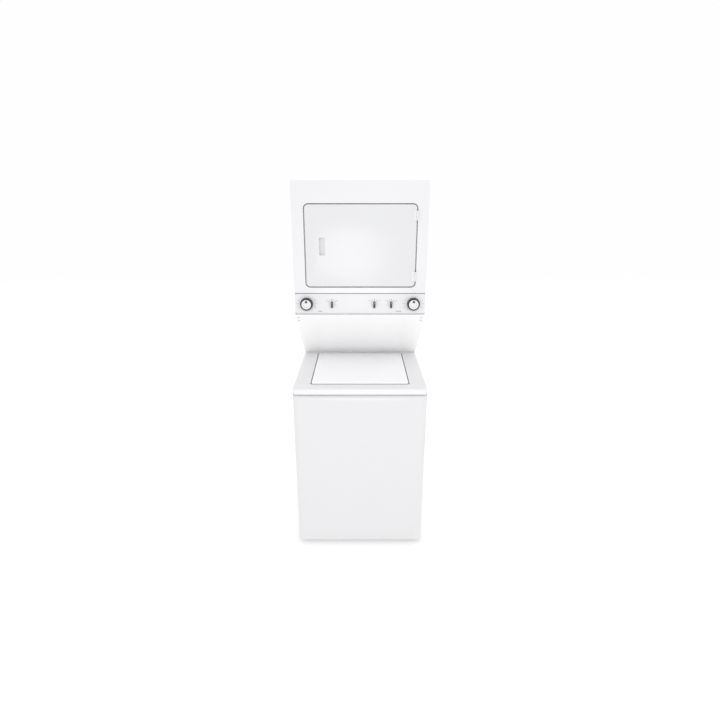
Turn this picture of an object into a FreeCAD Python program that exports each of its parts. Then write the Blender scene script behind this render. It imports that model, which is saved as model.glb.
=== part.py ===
"""Laundry centre: a top-loading washer with a front-loading dryer stacked on it.

Millimetres. Origin: centre of the footprint, on the floor. The front faces -Y, +X is to the
right of a person facing it and +Z is up. Each function makes one piece, and save() writes it.
"""
import FreeCAD, Part
import math
import os

V = FreeCAD.Vector
X, Y, Z = V(1, 0, 0), V(0, 1, 0), V(0, 0, 1)

# ---- Driving dimensions of the cabinet ----
width = 686.0               # 27 in laundry bay
depth = 800.0               # front panel to the end of the rear fittings
fitting_reach = 35.0        # how far the rear fittings stand out behind the rear panels
washer_height = 940.0       # floor to deck
slope_height = 329.0        # deck to console
console_height = 115.0
console_depth = 22.0
fascia_wall = 2.5
dryer_face_height = 559.0   # console to top
dryer_setback = 232.0       # dryer front behind washer front
slope_run = 340.0           # how far back the sloped panel goes on its way down
floor_gap = 22.0
sheet = 1.2                 # painted sheet steel
corner_radius = 25.0        # vertical front corners of the washer
edge_radius = 8.0           # rolled top edge of the deck
deck_skirt = 29.0
seam = 1.6                  # gap between neighbouring panels
console_seam = 3.0          # gap between the console and the dryer front
panel_return = 30.0         # front panel wraps this far round the sides
flange = 18.0               # inward flange on a panel edge

# ---- Driving dimensions of the lid, the door and the controls ----
lid_width = 506.0
lid_front_margin = 74.5     # washer front to lid edge
lid_rear_margin = 20.0      # lid edge to the foot of the sloped panel
lid_thickness = 17.0
lid_gap = 5.0
lid_finger_gap = 12.0       # wider gap in front of the lid, for fingers
lid_rest = 4.0              # height of the rubber bumpers under the lid
ledge = 18.0                # ledge round the deck opening
lid_pin_radius = 4.0
lid_pin_inside = 14.0       # how far each pin reaches under the lid
lid_pin_outside = 12.0      # how far it reaches into the deck
lid_pin_from_rear = 6.0     # lid's rear edge to the hinge line
door_width = 563.0
door_height = 413.0
door_above_console = 34.5
door_offset = 3.0           # door centre to the right of the cabinet centre
door_gap = 5.0
door_corner = 20.0
door_depth = 20.0
door_proud = 2.0
handle_width = 27.0
handle_height = 88.0
handle_depth = 13.0
handle_from_edge = 71.5
hinge_height = 48.0
hinge_inset = 54.0          # door corner to hinge centre
hinge_pin_radius = 2.5
knuckle_radius = 5.0
throat_width = 410.0        # opening that clothes go through
throat_height = 300.0
throat_corner = 105.0
timer_knob_diameter = 68.0
timer_knob_height = 17.0
timer_from_edge = 62.0
timer_cap_diameter = 47.0
timer_raise = 4.0           # timers stand this much higher than the selectors
knob_shaft_radius = 3.0
push_travel = 4.0
selector_places = (-148.0, 75.5, 164.0)
selector_diameter = 36.0
selector_height = 16.0
selector_bar = 12.0

# ---- Driving dimensions of the works ----
running_clearance = 0.05    # shaft in a bush, on the radius
free_clearance = 0.4        # faces that move past each other
tub_side_clearance = 58.0
tub_front_clearance = 45.0
tub_height = 470.0
tub_below_deck = 62.0
tub_wall = 3.0
basket_gap = 22.0
basket_wall = 1.5
balance_ring_width = 26.0
balance_ring_height = 30.0
hole_radius = 4.0
agitator_radius = 52.0
agitator_skirt_radius = 150.0
vane_reach = 46.0
drive_shaft_radius = 10.0
drive_pulley_radius = 95.0
washer_motor_pulley_radius = 28.0
washer_motor_radius = 72.0
belt_gap = 0.4
belt_thickness = 3.0
belt_width = 9.0
drum_side_clearance = 38.0
drum_top_clearance = 28.0
drum_front_gap = 88.0       # dryer front to drum edge
drum_rear_gap = 72.0        # drum back to rear panel
drum_wall = 1.5
drum_lip = 52.0             # how far the front rim of the drum turns in
drum_shaft_radius = 8.0
baffle_height = 60.0
dryer_motor_radius = 62.0
dryer_motor_place = 112.0
motor_below_drum = 80.0
dryer_pulley_radius = 14.0
motor_shaft_radius = 7.0
idler_radius = 24.0
idler_pin_radius = 5.0
blower_radius = 74.0
blower_wall_gap = 14.0
cowl_depth = 18.0           # lint duct's cowl over the blower's inlet
cowl_reach = 40.0           # motor axis to the cowl's side
shelf_above_deck = 134.0    # least room kept between the deck and the dryer's works
filter_width = 124.0
filter_thickness = 11.0
filter_height = 170.0
exhaust_radius = 50.8       # 4 in duct
exhaust_window_margin = 14.0
hose_thread_radius = 13.25  # 3/4 in garden hose thread
drain_radius = 16.0
foot_radius = 22.0
foot_stud_radius = 5.0

# ---- Levels and planes worked out from them ----
half_width = width / 2
front = -depth / 2
back = depth / 2 - fitting_reach
deck = washer_height
console_base = deck + slope_height
console_top = console_base + console_height
top = console_top + dryer_face_height
dryer_front = front + dryer_setback
slope_foot = dryer_front + slope_run
slope_angle = math.atan2(slope_height, slope_run)
panel_top = deck - deck_skirt - seam
tub_radius = half_width - tub_side_clearance
tub_y = front + tub_front_clearance + tub_radius
tub_top = deck - deck_skirt - tub_below_deck
tub_floor = tub_top - tub_height
basket_radius = tub_radius - basket_gap
basket_floor = tub_floor + 20
works_height = motor_below_drum + dryer_motor_radius + blower_radius + blower_wall_gap
drum_room = top - drum_top_clearance - works_height - shelf_above_deck - deck
drum_radius = min(half_width - drum_side_clearance, drum_room / 2)
drum_z = top - drum_top_clearance - drum_radius
drum_start = dryer_front + drum_front_gap
drum_end = back - drum_rear_gap
door_z = console_top + door_above_console + door_height / 2
door_face = dryer_front - door_proud
door_back = door_face + door_depth
hinge_x = door_offset + door_width / 2 + door_gap / 2
hinge_y = door_face - knuckle_radius
recess_floor = door_back + 3
timer_x = half_width - timer_from_edge
control_z = (console_base + console_top) / 2 - 3
dial_z = control_z + timer_raise
motor_z = drum_z - drum_radius - motor_below_drum - dryer_motor_radius
blower_case = blower_radius + blower_wall_gap
shelf_z = motor_z - blower_case - 6
lid_front = front + lid_front_margin
lid_rear = slope_foot - lid_rear_margin
lid_floor = deck - lid_thickness
ledge_top = lid_floor - lid_rest
lid_hinge_y = lid_rear - lid_pin_from_rear
lid_hinge_z = deck - 10


# ---- Shapes used throughout ----
def box(x0, x1, y0, y1, z0, z1):
    return Part.makeBox(x1 - x0, y1 - y0, z1 - z0, V(x0, y0, z0))


def rod(radius, start, end):
    """Cylinder from one point to another."""
    run = V(*end) - V(*start)
    return Part.makeCylinder(radius, run.Length, V(*start), run)


def tube(outer, inner, start, end):
    return rod(outer, start, end).cut(rod(inner, start, end))


def rounded(x0, x1, z0, z1, radius, y0, y1):
    """Rounded rectangle in the XZ plane, drawn along Y."""
    block = box(x0, x1, y0, y1, z0, z1)
    along = [e for e in block.Edges if abs(e.tangentAt(0).y) > 0.9]
    return block.makeFillet(radius, along)


def upright(x0, x1, y0, y1, radius, z0, z1):
    """Rounded rectangle in the XY plane, drawn along Z."""
    block = box(x0, x1, y0, y1, z0, z1)
    along = [e for e in block.Edges if abs(e.tangentAt(0).z) > 0.9]
    return block.makeFillet(radius, along)


def prism(points, direction):
    """Polygon, given by its corners in order, drawn along a direction."""
    corners = [V(*p) for p in points]
    return Part.Face(Part.makePolygon(corners + corners[:1])).extrude(direction)


def revolved(profile, centre, axis, normal):
    """Closed profile of (radius, height) points turned about an axis through centre."""
    corners = [centre + normal * r + axis * h for r, h in profile]
    face = Part.Face(Part.makePolygon(corners + corners[:1]))
    return face.revolve(centre, axis, 360)


def belt_side(circles, offset):
    """Face inside a belt line that runs round circles of (centre a, centre b, radius)."""
    edges, ends = [], []
    count = len(circles)
    for i in range(count):
        a0, b0, r0 = circles[i]
        a1, b1, r1 = circles[(i + 1) % count]
        r0, r1 = r0 + offset, r1 + offset
        heading = math.atan2(b1 - b0, a1 - a0)
        turn = math.acos((r0 - r1) / math.hypot(a1 - a0, b1 - b0))
        normal = V(math.cos(heading - turn), math.sin(heading - turn), 0)
        ends.append((V(a0, b0, 0) + normal * r0, V(a1, b1, 0) + normal * r1))
    for i in range(count):
        a0, b0, r0 = circles[i]
        arrive, leave = ends[i - 1][1], ends[i][0]
        centre = V(a0, b0, 0)
        start = math.atan2(arrive.y - b0, arrive.x - a0)
        sweep = (math.atan2(leave.y - b0, leave.x - a0) - start) % (2 * math.pi)
        middle = centre + V(math.cos(start + sweep / 2), math.sin(start + sweep / 2), 0) * (r0 + offset)
        edges.append(Part.Arc(arrive, middle, leave).toShape())
        edges.append(Part.LineSegment(*ends[i]).toShape())
    return Part.Face(Part.Wire(edges))


def belt(circles, thickness, belt_length):
    """Belt round circles listed anticlockwise in the XY plane, drawn along Z."""
    outer = belt_side(circles, belt_gap + thickness).extrude(Z * belt_length)
    return outer.cut(belt_side(circles, belt_gap).extrude(Z * belt_length))


def stood_up(shape):
    """Turns a shape drawn in XY so that it lies in XZ, with its height along -Y."""
    turned = shape.copy()
    turned.rotate(V(0, 0, 0), X, 90)
    return turned


def mirrored(shape):
    return shape.mirror(V(0, 0, 0), X)


def around(shape, centre, axis, count):
    """Copies of a shape, evenly spaced about an axis."""
    copies = []
    for i in range(count):
        one = shape.copy()
        one.rotate(centre, axis, 360.0 * i / count)
        copies.append(one)
    return copies


os.makedirs("parts", exist_ok=True)


def save(name, *pieces):
    """Writes one node. Several pieces of the same kind share it as separate solids."""
    solids = [s for piece in pieces for s in piece.Solids]
    shape = solids[0] if len(solids) == 1 else Part.makeCompound(solids)
    shape.exportStep("parts/" + name + ".step")
    print(f"{name:24s} solids {len(solids):3d}  valid {shape.isValid()}  cm3 {shape.Volume / 1000:9.1f}")


# ---- Cabinet ----
foot_places = [(x, y) for y in (front + 50, back - 45) for x in (-half_width + 53, half_width - 53)]


def base_pan():
    """Folded tray that carries the washer, with a hole for each foot."""
    reach = half_width - 2 * sheet
    tray = box(-reach, reach, front + panel_return, back - 2 * sheet, floor_gap, floor_gap + flange)
    tray = tray.cut(box(-reach + 2, reach - 2, front + panel_return + 2, back - 2 * sheet - 2,
                        floor_gap + 2, floor_gap + flange))
    for x, y in foot_places:
        tray = tray.cut(rod(foot_stud_radius + free_clearance, (x, y, 0), (x, y, floor_gap + 3)))
    return tray


def foot(x, y):
    """Rubber pad on a threaded stud."""
    pad = revolved([(0, 0), (foot_radius, 0), (foot_radius, 7), (foot_radius - 6, 13), (0, 13)],
                   V(x, y, 0), Z, X)
    return pad.fuse(rod(foot_stud_radius, (x, y, 12), (x, y, floor_gap + 34)))


def foot_nut(x, y):
    """Hexagon nut on the stud, on top of the base pan."""
    sides = [(x + 9.8 * math.cos(math.radians(60 * i)), y + 9.8 * math.sin(math.radians(60 * i)),
              floor_gap + 2) for i in range(6)]
    bore = rod(foot_stud_radius + running_clearance, (x, y, floor_gap), (x, y, floor_gap + 20))
    return prism(sides, Z * 8).cut(bore)


def side_panel(low, high, start, end, lean=None):
    """Right-hand side sheet with an inward flange down its back edge."""
    outline = [(half_width, start, low), (half_width, end, low), (half_width, end, high),
               (half_width, start, high)] if lean is None else lean
    panel = prism(outline, X * -sheet)
    return panel.fuse(box(half_width - flange, half_width, end - sheet, end, low, high))


def rear_panel(low, high):
    return box(-half_width + flange + seam, half_width - flange - seam, back - sheet, back, low, high)


def washer_front_panel():
    """Front sheet wrapped round both corners, rolled over along its top edge."""
    def block(inset, above):
        solid = upright(-half_width + inset, half_width - inset, front + inset, front + 200,
                        corner_radius - inset, floor_gap, panel_top - inset + above)
        rolled = [e for e in solid.Edges if e.BoundBox.ZMin > panel_top - inset - 1
                  and e.BoundBox.YMin < front + 198]
        return solid.makeFillet(edge_radius - inset, rolled)
    skin = block(0, 0).cut(block(sheet, 0))
    return skin.common(box(-half_width, half_width, front, front + panel_return - seam, 0, deck))


def washer_deck():
    """Top of the washer: rolled edges outside, and a well for the lid with a ledge all round."""
    def block(inset):
        solid = box(-half_width + inset, half_width - inset, front + inset, back - inset,
                    deck - deck_skirt, deck - inset)
        corners = [e for e in solid.Edges if abs(e.tangentAt(0).z) > 0.9 and e.BoundBox.YMin < 0]
        solid = solid.makeFillet(corner_radius - inset, corners)
        rolled = [e for e in solid.Edges if e.BoundBox.ZMin > deck - inset - 1
                  and e.BoundBox.YMin < back - inset - 1]
        return solid.makeFillet(edge_radius - inset, rolled)
    reach = lid_width / 2 + lid_gap
    well_front, well_rear = lid_front - lid_finger_gap, lid_rear + lid_gap
    pan = block(0).cut(block(sheet))
    well = upright(-reach - sheet, reach + sheet, well_front - sheet, well_rear + sheet, 14,
                   ledge_top - sheet, deck - sheet / 2)
    pan = pan.fuse(well)
    pan = pan.cut(upright(-reach, reach, well_front, well_rear, 13, ledge_top, deck + 1))
    throat = upright(-reach + ledge, reach - ledge, well_front + ledge, well_rear - ledge - 12, 60,
                     ledge_top - 30, deck)
    collar = upright(-reach + ledge - sheet, reach - ledge + sheet, well_front + ledge - sheet,
                     well_rear - ledge - 12 + sheet, 60 + sheet, ledge_top - 14, ledge_top)
    pan = pan.fuse(collar).cut(throat)
    for side in (-1, 1):
        place = (side * (reach - lid_gap), lid_hinge_y, lid_hinge_z)
        outside = (side * (reach + lid_pin_outside + 2), lid_hinge_y, lid_hinge_z)
        pan = pan.fuse(rod(lid_pin_radius + 3, (side * reach, lid_hinge_y, lid_hinge_z), outside))
        pan = pan.cut(rod(lid_pin_radius + running_clearance, place, outside))
    return pan


screw_shank = 1.9
screw_places = [(side * (half_width - 13), console_base - drop) for side in (-1, 1) for drop in (22, 44)]
slope_away = V(0, -math.sin(slope_angle), -math.cos(slope_angle))


def screw_seat(x, z):
    """Point on the face of the sloped panel."""
    return V(x, dryer_front + (console_base - z) / math.tan(slope_angle), z)


def sloped_panel():
    """Sheet that leans forward from the deck up to the console, turned under at its foot."""
    lean = slope_away * -sheet
    reach = half_width - sheet
    low, high = V(-reach, slope_foot, deck), V(-reach, dryer_front, console_base)
    sheet_face = prism([low, high, high + lean, low + lean], X * (2 * reach))
    turned = box(-reach, reach, slope_foot, slope_foot + flange, deck, deck + sheet)
    panel = sheet_face.fuse(turned)
    for x, z in screw_places:
        panel = panel.cut(Part.makeCylinder(screw_shank + 0.1, 12, screw_seat(x, z), -slope_away))
    return panel


def dryer_side():
    outline = [(half_width, slope_foot, deck), (half_width, back, deck), (half_width, back, top - sheet),
               (half_width, dryer_front + sheet, top - sheet),
               (half_width, dryer_front + sheet, console_base)]
    return side_panel(deck, top - sheet, slope_foot, back, outline)


def dryer_top_panel():
    """Lid of the dryer cabinet with its front and side edges rolled down."""
    def block(inset):
        solid = box(-half_width + inset, half_width - inset, dryer_front + inset, back - inset,
                    top - sheet - flange, top - inset)
        rolled = [e for e in solid.Edges if e.BoundBox.ZMin > top - inset - 1
                  and e.BoundBox.YMin < back - inset - 1]
        return solid.makeFillet(4 - inset, rolled)
    plate = block(0).common(box(-half_width, half_width, dryer_front, back, top - sheet, top))
    return plate


def exhaust_place():
    return -dryer_motor_place, motor_z


def dryer_rear_panel():
    """Rear sheet with a square window round the exhaust."""
    x, z = exhaust_place()
    reach = exhaust_radius + exhaust_window_margin
    panel = rear_panel(deck + seam, top - sheet - seam)
    return panel.cut(box(x - reach, x + reach, back - 5, back + 5, z - reach, z + reach))


def exhaust_plate():
    """Plate behind the window that closes it round the exhaust collar."""
    x, z = exhaust_place()
    reach = exhaust_radius + exhaust_window_margin + 15
    plate = box(x - reach, x + reach, back - 2 * sheet, back - sheet, z - reach, z + reach)
    return plate.cut(rod(exhaust_radius + 3, (x, back - 5, z), (x, back + 5, z)))


def washer_rear_panel():
    panel = rear_panel(floor_gap + seam, panel_top)
    panel = panel.cut(rod(drain_radius + 2, (drain_x, back - 5, drain_z), (drain_x, back + 5, drain_z)))
    for x in inlet_places:
        hole = rod(hose_thread_radius + 1.5, (x, back - 5, inlet_z), (x, back + 5, inlet_z))
        panel = panel.cut(hole)
    return panel


def door_outline(grow, y0, y1):
    half_w, half_h = door_width / 2 + grow, door_height / 2 + grow
    return rounded(door_offset - half_w, door_offset + half_w, door_z - half_h, door_z + half_h,
                   door_corner + grow, y0, y1)


def throat_outline(grow, y0, y1):
    half_w, half_h = throat_width / 2 + grow, throat_height / 2 + grow
    return rounded(-half_w, half_w, door_z - half_h, door_z + half_h, throat_corner + grow, y0, y1)


def dryer_front_panel():
    """Front sheet with a recess for the door and a throat turned back into the drum opening."""
    panel = box(-half_width, half_width, dryer_front, dryer_front + sheet, console_top, top - sheet)
    panel = panel.fuse(door_outline(door_gap + sheet, dryer_front, recess_floor + sheet))
    panel = panel.cut(door_outline(door_gap, dryer_front - 1, recess_floor))
    panel = panel.fuse(throat_outline(sheet, recess_floor, bulkhead_y))
    return panel.cut(throat_outline(0, dryer_front - 1, bulkhead_y + 1))


# ---- Console and controls ----
def console_panel():
    """Fascia with a rolled lower edge and a hole for each control."""
    reach = half_width - sheet
    face_top = console_top - console_seam
    block = box(-reach, reach, dryer_front, dryer_front + console_depth, console_base, face_top)
    front_edges = [e for e in block.Edges if e.BoundBox.YMax < dryer_front + 1 and e.BoundBox.XLength > 10]
    low = [e for e in front_edges if e.BoundBox.ZMax < console_base + 1]
    block = block.makeFillet(9, low)
    hollow = box(-reach + fascia_wall, reach - fascia_wall, dryer_front + fascia_wall,
                 dryer_front + console_depth + 1, console_base + fascia_wall, face_top - fascia_wall)
    fascia = block.cut(hollow)
    for x in (-timer_x, timer_x):
        fascia = fascia.cut(rod(knob_shaft_radius + 2, (x, dryer_front - 1, dial_z),
                                (x, dryer_front + 4, dial_z)))
    for x in selector_places:
        fascia = fascia.cut(rod(knob_shaft_radius + 1.5, (x, dryer_front - 1, control_z),
                                (x, dryer_front + 4, control_z)))
    return fascia


def timer_box(x):
    """Clockwork timer with a bore that takes its shaft."""
    body = box(x - 33, x + 33, dryer_front + 6, dryer_front + 62, dial_z - 33, dial_z + 33)
    bore = rod(knob_shaft_radius + running_clearance, (x, dryer_front + 5, dial_z),
               (x, dryer_front + 45, dial_z))
    return body.cut(bore)


def selector_switch(x):
    body = box(x - 16, x + 16, dryer_front + 6, dryer_front + 34, control_z - 16, control_z + 16)
    bore = rod(knob_shaft_radius + running_clearance, (x, dryer_front + 5, control_z),
               (x, dryer_front + 26, control_z))
    return body.cut(bore)


def timer_shaft(x):
    reach = dryer_front - push_travel - timer_knob_height + 9
    return rod(knob_shaft_radius, (x, reach, dial_z), (x, dryer_front + 38, dial_z))


knob_base = dryer_front - push_travel - 2


def timer_knob(x):
    """Dark knob with a flared skirt, a bore for the shaft and a seat for its cap."""
    half = timer_knob_diameter / 2
    seat = timer_cap_diameter / 2 + free_clearance
    tall = timer_knob_height
    bore = knob_shaft_radius + running_clearance
    profile = [(bore, 0), (half, 0), (half, 4), (half - 3, tall - 3), (half - 5, tall), (seat, tall),
               (seat, tall - 4), (bore, tall - 4)]
    return revolved(profile, V(x, knob_base, dial_z), -Y, X)


def timer_cap(x):
    """Pale disc set into the knob."""
    half = timer_cap_diameter / 2
    tall = timer_knob_height
    profile = [(0, tall - 4), (half, tall - 4), (half, tall - 1), (half - 2, tall + 1), (0, tall + 2)]
    return revolved(profile, V(x, knob_base, dial_z), -Y, X)


def selector_knob(x):
    """Round base with a raised finger bar, on its own shaft."""
    half = selector_diameter / 2
    base = dryer_front - 1.5
    disc = rod(half, (x, base, control_z), (x, base - 3, control_z))
    grip = upright(x - selector_bar / 2, x + selector_bar / 2, base - selector_height, base, 2,
                   control_z - half + 1, control_z + half - 1)
    shaft = rod(knob_shaft_radius, (x, base, control_z), (x, dryer_front + 22, control_z))
    return disc.fuse(grip).fuse(shaft)


def panel_screw(x, z):
    """Pan-head screw at the upper end of the sloped panel."""
    seat = screw_seat(x, z)
    head = Part.makeCylinder(4.5, 2.4, seat, slope_away)
    return head.fuse(Part.makeCylinder(screw_shank, 9, seat, -slope_away))


# ---- Lid and door ----
def washer_lid():
    """Lid pan with a turned-down skirt and an inner sheet."""
    half = lid_width / 2
    block = upright(-half, half, lid_front, lid_rear, 12, lid_floor, deck)
    rolled = [e for e in block.Edges if e.BoundBox.ZMin > deck - 1]
    block = block.makeFillet(3, rolled)
    hollow = upright(-half + sheet, half - sheet, lid_front + sheet, lid_rear - sheet, 11,
                     lid_floor, deck - sheet)
    skin = block.cut(hollow)
    for side in (-1, 1):
        skin = skin.cut(rod(lid_pin_radius, (side * (half - lid_pin_inside), lid_hinge_y, lid_hinge_z),
                            (side * (half + lid_gap), lid_hinge_y, lid_hinge_z)))
    return skin


def lid_liner():
    """Inner sheet of the lid with four bumpers."""
    half = lid_width / 2 - sheet - free_clearance
    liner = upright(-half, half, lid_front + sheet + free_clearance, lid_rear - sheet - 22, 10,
                    lid_floor, lid_floor + sheet)
    for x in (-half + 8, half - 8):
        for y in (lid_front + 12, lid_rear - 40):
            liner = liner.fuse(rod(5, (x, y, lid_floor + sheet), (x, y, lid_floor - lid_rest)))
    return liner


def lid_pin(side):
    half = lid_width / 2
    return rod(lid_pin_radius, (side * (half - lid_pin_inside), lid_hinge_y, lid_hinge_z),
               (side * (half + lid_gap + lid_pin_outside), lid_hinge_y, lid_hinge_z))


def door_outer():
    """Door pan with a finger pocket."""
    def block(inset):
        solid = door_outline(-inset, door_face + inset, door_back + (5 if inset else 0))
        if inset:
            return solid
        edges = [e for e in solid.Edges if e.BoundBox.YMax < door_face + 1]
        return solid.makeFillet(4, edges)
    skin = block(0).cut(block(sheet))
    x0 = door_offset - door_width / 2 + handle_from_edge
    z0 = door_z - handle_height / 2
    skin = skin.fuse(rounded(x0 - sheet, x0 + handle_width + sheet, z0 - sheet, z0 + handle_height + sheet, 7,
                             door_face + sheet / 2, door_face + handle_depth + sheet))
    return skin.cut(rounded(x0, x0 + handle_width, z0, z0 + handle_height, 6, door_face - 1,
                            door_face + handle_depth))


def door_inner():
    """Inner door sheet with a dish that enters the throat."""
    plate = door_outline(-sheet - free_clearance, door_back - sheet, door_back)
    dish = throat_outline(-9, door_back - sheet, door_back + 20)
    hollow = throat_outline(-9 - sheet, door_back - 2 * sheet, door_back + 20 - sheet)
    return plate.fuse(dish).cut(hollow)


def door_seal():
    return throat_outline(16, door_back, recess_floor - free_clearance).cut(
        throat_outline(5, door_back - 1, recess_floor))


hinge_levels = [door_z + side * (door_height / 2 - hinge_inset) for side in (-1, 1)]


def hinge_rod(radius, low, high):
    """Cylinder on the hinge line between two levels."""
    return rod(radius, (hinge_x, hinge_y, low), (hinge_x, hinge_y, high))


def hinge_bracket(z):
    """Cabinet half of a door hinge: leaf, two outer knuckles and the pin."""
    third = hinge_height / 3
    z0 = z - hinge_height / 2
    leaf = box(hinge_x, hinge_x + 20, dryer_front - 1.5, dryer_front, z0, z0 + hinge_height)
    web = box(hinge_x, hinge_x + knuckle_radius, hinge_y, dryer_front, z0, z0 + hinge_height)
    solid = leaf.fuse(web).fuse(hinge_rod(knuckle_radius, z0, z0 + 3 * third))
    solid = solid.cut(hinge_rod(knuckle_radius + free_clearance, z0 + third - free_clearance,
                                z0 + 2 * third + free_clearance))
    gap = box(hinge_x - knuckle_radius, hinge_x + knuckle_radius + free_clearance, hinge_y - knuckle_radius,
              hinge_y + knuckle_radius + free_clearance,
              z0 + third - free_clearance, z0 + 2 * third + free_clearance)
    return solid.cut(gap).fuse(hinge_rod(hinge_pin_radius, z0, z0 + 3 * third))


def hinge_leaf(z):
    """Door half of a door hinge: leaf and middle knuckle with a bore for the pin."""
    third = hinge_height / 3
    z0 = z - hinge_height / 2
    leaf = box(hinge_x - 20, hinge_x - 3, door_face - 1.5, door_face, z0, z0 + hinge_height)
    neck = box(hinge_x - 4, hinge_x, door_face - 3, door_face - 1, z0 + third, z0 + 2 * third)
    knuckle = hinge_rod(knuckle_radius, z0 + third, z0 + 2 * third)
    bore = hinge_rod(hinge_pin_radius + running_clearance, z0, z0 + 3 * third)
    lower = hinge_rod(knuckle_radius + free_clearance, z0 - 1, z0 + third)
    upper = hinge_rod(knuckle_radius + free_clearance, z0 + 2 * third, z0 + 3 * third + 1)
    return leaf.cut(lower).cut(upper).fuse(neck).fuse(knuckle).cut(bore)


# ---- Washer works ----
drain_x, drain_z = -half_width + 83, deck - 90
inlet_places = (half_width - 123, half_width - 63)
inlet_z = deck - 100
pump_x, pump_y = -half_width + 110, back - 120
washer_belt_z = floor_gap + 78
motor_x = tub_radius * 0.62
gearcase_radius = 70.0
hub_radius = 34.0


def outer_tub():
    """Plastic tub with a raised hub that the drive tube passes through."""
    outer = rod(tub_radius, (0, tub_y, tub_floor), (0, tub_y, tub_top))
    inner = rod(tub_radius - tub_wall, (0, tub_y, tub_floor + 4), (0, tub_y, tub_top + 1))
    hole = rod(hub_radius + 3, (0, tub_y, tub_floor - 1), (0, tub_y, tub_floor + 5))
    return outer.cut(inner).cut(hole)


def tub_cover():
    """Ring clipped on the tub so that water can't splash over its rim."""
    inner = basket_radius - balance_ring_width - 6
    profile = [(inner, 8), (inner + 4, 8), (inner + 8, 12), (tub_radius + 4, 12), (tub_radius + 4, -10),
               (tub_radius + free_clearance, -10), (tub_radius + free_clearance, 0), (tub_radius - 12, 0),
               (tub_radius - 18, 8.5), (inner + 10, 8.5), (inner + 6, 4), (inner, 4)]
    return revolved(profile, V(0, tub_y, tub_top), Z, X)


rod_places = [(sx * (half_width - 30), tub_y + sy * (tub_radius - 75)) for sx in (-1, 1) for sy in (-1, 1)]


def suspension_rod(x, y):
    """Rod with a spring seat that hangs the tub from the top of the cabinet."""
    low, high = tub_floor - 10, tub_top + 20
    cup = rod(11, (x, y, low - 40), (x, y, low))
    hook = rod(9, (x, y, high), (x, y, high + 8))
    return rod(3.5, (x, y, low - 50), (x, y, high + 4)).fuse(cup).fuse(hook)


def gearcase():
    """Transmission under the tub, with a bore for the drive shaft."""
    case = rod(gearcase_radius, (0, tub_y, tub_floor - 140), (0, tub_y, tub_floor - 30))
    plate = rod(tub_radius * 0.55, (0, tub_y, tub_floor - 30), (0, tub_y, tub_floor))
    bore = rod(drive_shaft_radius + running_clearance, (0, tub_y, 0), (0, tub_y, tub_floor + 1))
    socket = rod(hub_radius + 3, (0, tub_y, tub_floor - 6), (0, tub_y, tub_floor + 1))
    return case.fuse(plate).cut(bore).cut(socket)


def drive_pulley():
    """Pulley under the gearcase, on the shaft that goes up into the basket."""
    r = drive_pulley_radius
    profile = [(0, 0), (r + 5, 0), (r, 4), (r, 14), (r + 5, 18), (0, 18)]
    wheel = revolved(profile, V(0, tub_y, washer_belt_z - 9), Z, X)
    spokes = rod(14, (0, tub_y + r * 0.6, washer_belt_z - 10), (0, tub_y + r * 0.6, washer_belt_z + 10))
    for one in around(spokes, V(0, tub_y, 0), Z, 5):
        wheel = wheel.cut(one)
    return wheel.fuse(rod(drive_shaft_radius, (0, tub_y, washer_belt_z), (0, tub_y, basket_floor)))


def washer_motor():
    """Motor hung beside the gearcase, with a bore for its shaft."""
    low = washer_belt_z + 34
    body = rod(washer_motor_radius, (motor_x, tub_y, low), (motor_x, tub_y, low + 110))
    arm = box(gearcase_radius - 12, motor_x, tub_y - 22, tub_y + 22, low + 60, low + 72)
    arm = arm.cut(rod(gearcase_radius, (0, tub_y, low), (0, tub_y, low + 100)))
    bore = rod(motor_shaft_radius + running_clearance, (motor_x, tub_y, low - 1), (motor_x, tub_y, low + 40))
    return body.fuse(arm).cut(bore)


def washer_motor_pulley():
    r = washer_motor_pulley_radius
    profile = [(0, 0), (r + 5, 0), (r, 4), (r, 14), (r + 5, 18),
               (motor_shaft_radius, 18), (motor_shaft_radius, 78), (0, 78)]
    return revolved(profile, V(motor_x, tub_y, washer_belt_z - 9), Z, X)


def washer_belt():
    circles = [(0, tub_y, drive_pulley_radius), (motor_x, tub_y, washer_motor_pulley_radius)]
    loop = belt(circles, belt_thickness, belt_width)
    loop.translate(Z * (washer_belt_z - belt_width / 2))
    return loop


def wash_basket():
    """Perforated steel basket."""
    high = tub_top - 22
    shell = rod(basket_radius, (0, tub_y, basket_floor), (0, tub_y, high))
    shell = shell.cut(rod(basket_radius - basket_wall, (0, tub_y, basket_floor + 3), (0, tub_y, high + 1)))
    drill = rod(hole_radius, (basket_radius - 6, tub_y, 0), (basket_radius + 6, tub_y, 0))
    holes = []
    for row in range(5):
        level = basket_floor + 50 + row * (high - basket_floor - 110) / 4
        for one in around(drill, V(0, tub_y, 0), Z, 20):
            one.rotate(V(0, tub_y, 0), Z, 9 * (row % 2))
            one.translate(Z * level)
            holes.append(one)
    return shell.cut(Part.makeCompound(holes))


def balance_ring():
    """Liquid-filled ring that steadies the basket, set inside its rim."""
    outer = basket_radius - basket_wall - 0.1
    inner = outer - balance_ring_width
    high = tub_top - 20
    low = high - balance_ring_height
    profile = [(inner, low + 6), (inner + 6, low), (outer, low), (outer, high), (inner + 6, high),
               (inner, high - 6)]
    return revolved(profile, V(0, tub_y, 0), Z, X)


agitator_top = tub_top - 62


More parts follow.
